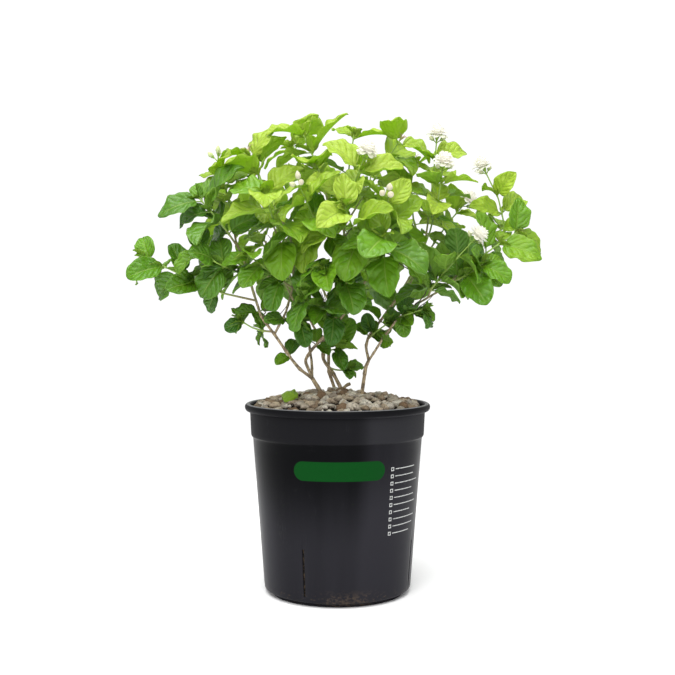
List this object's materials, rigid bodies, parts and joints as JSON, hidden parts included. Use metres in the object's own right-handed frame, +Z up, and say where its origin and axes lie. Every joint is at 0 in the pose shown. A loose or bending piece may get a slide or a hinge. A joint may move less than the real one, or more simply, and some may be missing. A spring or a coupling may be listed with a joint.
{
  "type": "potted arabian jasmine",
  "caption": "Bushy Arabian jasmine with wavy oval leaves and white double blooms, growing in a round black nursery pot topped with pumice stones.",
  "frame": {"origin": "centre of the pot's underside, on the surface that it stands on", "axes": "+Z up the plant, +Y away from the side that the picture shows, +X to that view's right"},
  "size_m": [0.5228, 0.3801, 0.6299],
  "materials": {
    "pot_plastic": "black moulded plastic with a satin sheen, faint scuffs and a green printed band",
    "growing_medium": "damp dark growing medium",
    "pumice": "dry tan and grey brown pumice stones",
    "bark": "tan bark, finely ridged",
    "leaf": "satin leaf, yellow green when young and deep green when old, veined",
    "petal": "soft white petal, faintly green at its base"
  },
  "bodies": {
    "root": {"nursery_pot": "pot_plastic", "growing_medium": "growing_medium", "pumice_mulch": "pumice", "woody_stem_left": "bark", "woody_stem_middle": "bark", "woody_stem_back": "bark", "woody_stem_right": "bark", "fallen_leaf": "leaf", "leafy_shoot_far_left": "leaf", "leafy_shoot_left_low": "leaf", "leafy_shoot_left_mid": "leaf", "leafy_shoot_left_upper": "leaf", "leafy_shoot_left_top": "leaf", "leafy_shoot_left_rear": "leaf", "leafy_shoot_left_rear_low": "leaf", "leafy_shoot_front_left": "leaf", "leafy_shoot_front_left_low": "leaf", "leafy_shoot_front_mid_left": "leaf", "leafy_shoot_front_mid": "leaf", "leafy_shoot_front_mid_low": "leaf", "leafy_shoot_front_low": "leaf", "leafy_shoot_front_right": "leaf", "leafy_shoot_front_right_low": "leaf", "leafy_shoot_crown_left": "leaf", "leafy_shoot_crown_front": "leaf", "bloom_crown_front": "petal", "leafy_shoot_crown_top": "leaf", "leafy_shoot_crown_rear_left": "leaf", "leafy_shoot_crown_right": "leaf", "leafy_shoot_crown_rear": "leaf", "leafy_shoot_inside_left": "leaf", "leafy_shoot_inside_rear": "leaf", "leafy_shoot_back_right": "leaf", "leafy_shoot_back_top": "leaf", "bloom_back_top": "petal", "leafy_shoot_back_left": "leaf", "leafy_shoot_back_left_low": "leaf", "leafy_shoot_back_low": "leaf", "leafy_shoot_right_top": "leaf", "bloom_right_top": "petal", "leafy_shoot_right_tall": "leaf", "bloom_right_tall": "petal", "leafy_shoot_right_out": "leaf", "leafy_shoot_right_low": "leaf", "leafy_shoot_right_front": "leaf", "bloom_right_front": "petal", "leafy_shoot_right_shoulder": "leaf", "bloom_right_shoulder": "petal", "leafy_shoot_right_under": "leaf", "leafy_shoot_right_rear": "leaf", "bloom_right_rear": "petal", "leafy_shoot_right_rear_low": "leaf", "leafy_shoot_right_inside": "leaf", "leafy_shoot_sprig_left": "leaf", "leafy_shoot_sprig_middle": "leaf", "leafy_shoot_sprig_right": "leaf", "leafy_shoot_sprig_inner": "leaf", "leafy_shoot_sprig_low": "leaf"}
  },
  "joints": []
}
